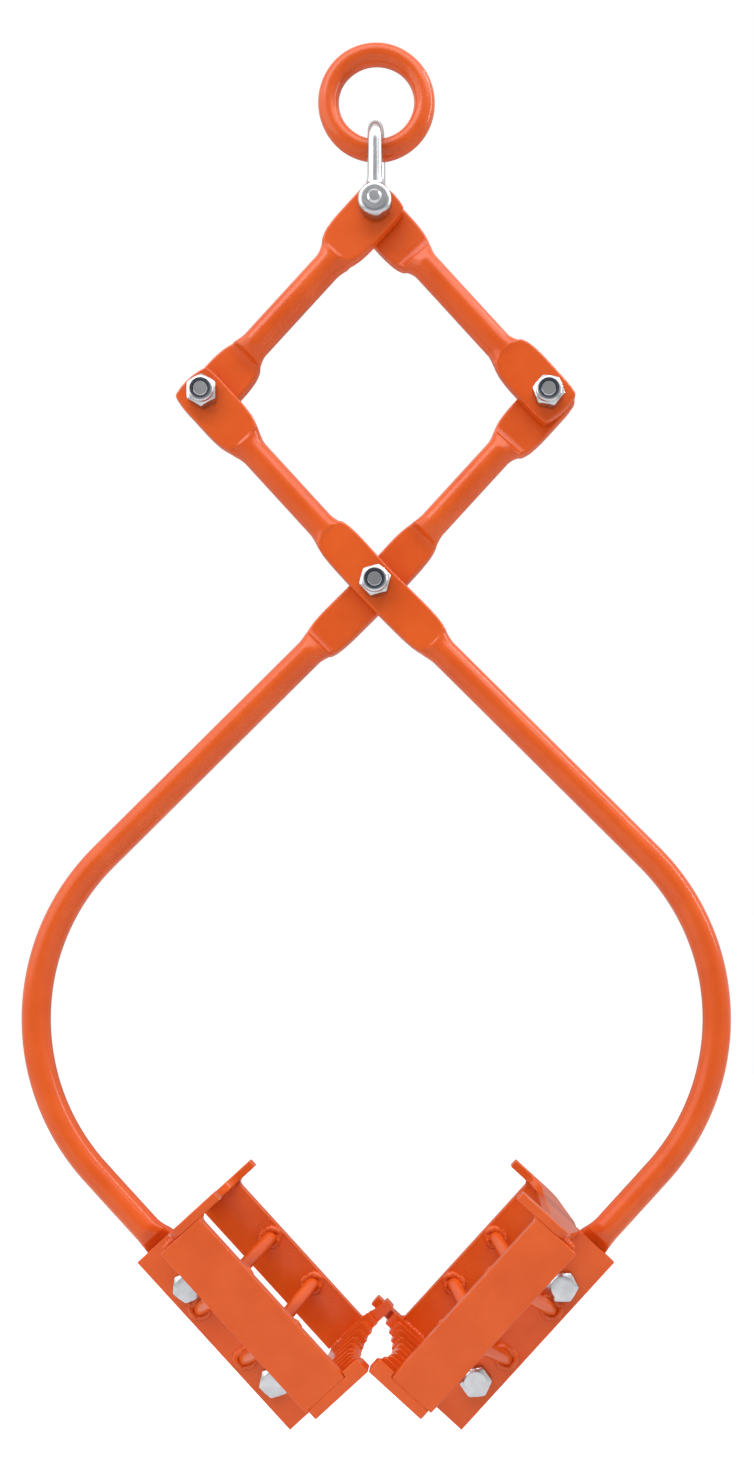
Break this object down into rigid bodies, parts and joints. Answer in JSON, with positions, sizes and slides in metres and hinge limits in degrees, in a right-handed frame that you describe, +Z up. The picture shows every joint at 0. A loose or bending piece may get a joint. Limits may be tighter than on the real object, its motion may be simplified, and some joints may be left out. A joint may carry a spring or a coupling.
{
  "type": "lifting tongs",
  "caption": "Self-closing lifting tongs: ring and shackle, scissor links of forged bar, bowed crossed arms and bolted jaws with forked plates and toothed lips.",
  "frame": {"origin": "centre of the lifting ring's hole", "axes": "+Z up along the hanging tongs, +X to the right jaw, +Y away from the lock nuts, along the pivots"},
  "size_m": [0.4046, 0.124, 0.7892],
  "materials": {
    "orange_paint": "gloss orange enamel",
    "zinc_plate": "bright zinc plate",
    "nylon": "matt nylon"
  },
  "bodies": {
    "ring": {"ring": "orange_paint"},
    "shackle": {"shackle_bow": "zinc_plate", "shackle_pin": "zinc_plate"},
    "left_link": {"left_link": "orange_paint", "left_pivot_bolt": "zinc_plate", "left_pivot_nut": "zinc_plate", "left_pivot_insert": "nylon"},
    "right_link": {"right_link": "orange_paint", "right_pivot_bolt": "zinc_plate", "right_pivot_nut": "zinc_plate", "right_pivot_insert": "nylon"},
    "front_arm": {"front_arm": "orange_paint", "centre_pivot_bolt": "zinc_plate", "centre_pivot_nut": "zinc_plate", "centre_pivot_insert": "nylon", "right_middle_bar": "orange_paint", "right_front_bar": "orange_paint", "right_rear_bar": "orange_paint", "right_top_plate": "orange_paint", "right_toothed_lip": "orange_paint", "right_front_upper_brace": "orange_paint", "right_front_lower_brace": "orange_paint", "right_rear_upper_brace": "orange_paint", "right_rear_lower_brace": "orange_paint", "right_upper_jaw_bolt": "zinc_plate", "right_lower_jaw_bolt": "zinc_plate", "right_upper_jaw_nut": "zinc_plate", "right_lower_jaw_nut": "zinc_plate"},
    "rear_arm": {"rear_arm": "orange_paint", "left_middle_bar": "orange_paint", "left_front_bar": "orange_paint", "left_rear_bar": "orange_paint", "left_top_plate": "orange_paint", "left_toothed_lip": "orange_paint", "left_front_upper_brace": "orange_paint", "left_front_lower_brace": "orange_paint", "left_rear_upper_brace": "orange_paint", "left_rear_lower_brace": "orange_paint", "left_upper_jaw_bolt": "zinc_plate", "left_lower_jaw_bolt": "zinc_plate", "left_upper_jaw_nut": "zinc_plate", "left_lower_jaw_nut": "zinc_plate"}
  },
  "joints": [
    {"name": "shackle_swing", "type": "hinge", "parent": "ring", "child": "shackle", "pos_m": [0, 0, -0.0274], "axis": [1, 0, 0], "range_deg": [-40, 40]},
    {"name": "open", "type": "hinge", "parent": "shackle", "child": "left_link", "pos_m": [0, 0, -0.0627], "axis": [0, 1, 0], "range_deg": [0, 26]},
    {"name": "right_link_turn", "type": "hinge", "parent": "shackle", "child": "right_link", "pos_m": [0, 0, -0.0627], "axis": [0, 1, 0], "range_deg": [-26, 0]},
    {"name": "left_pivot_turn", "type": "hinge", "parent": "left_link", "child": "front_arm", "pos_m": [-0.09762, 0, -0.16924], "axis": [0, 1, 0], "range_deg": [-52, 0]},
    {"name": "centre_pivot_turn", "type": "hinge", "parent": "front_arm", "child": "rear_arm", "pos_m": [0, 0, -0.27577], "axis": [0, 1, 0], "range_deg": [0, 52]}
  ],
  "couplings": [
    {"joint": "right_link_turn", "follows": "open", "ratio": -1},
    {"joint": "left_pivot_turn", "follows": "open", "ratio": -2},
    {"joint": "centre_pivot_turn", "follows": "open", "ratio": 2}
  ]
}
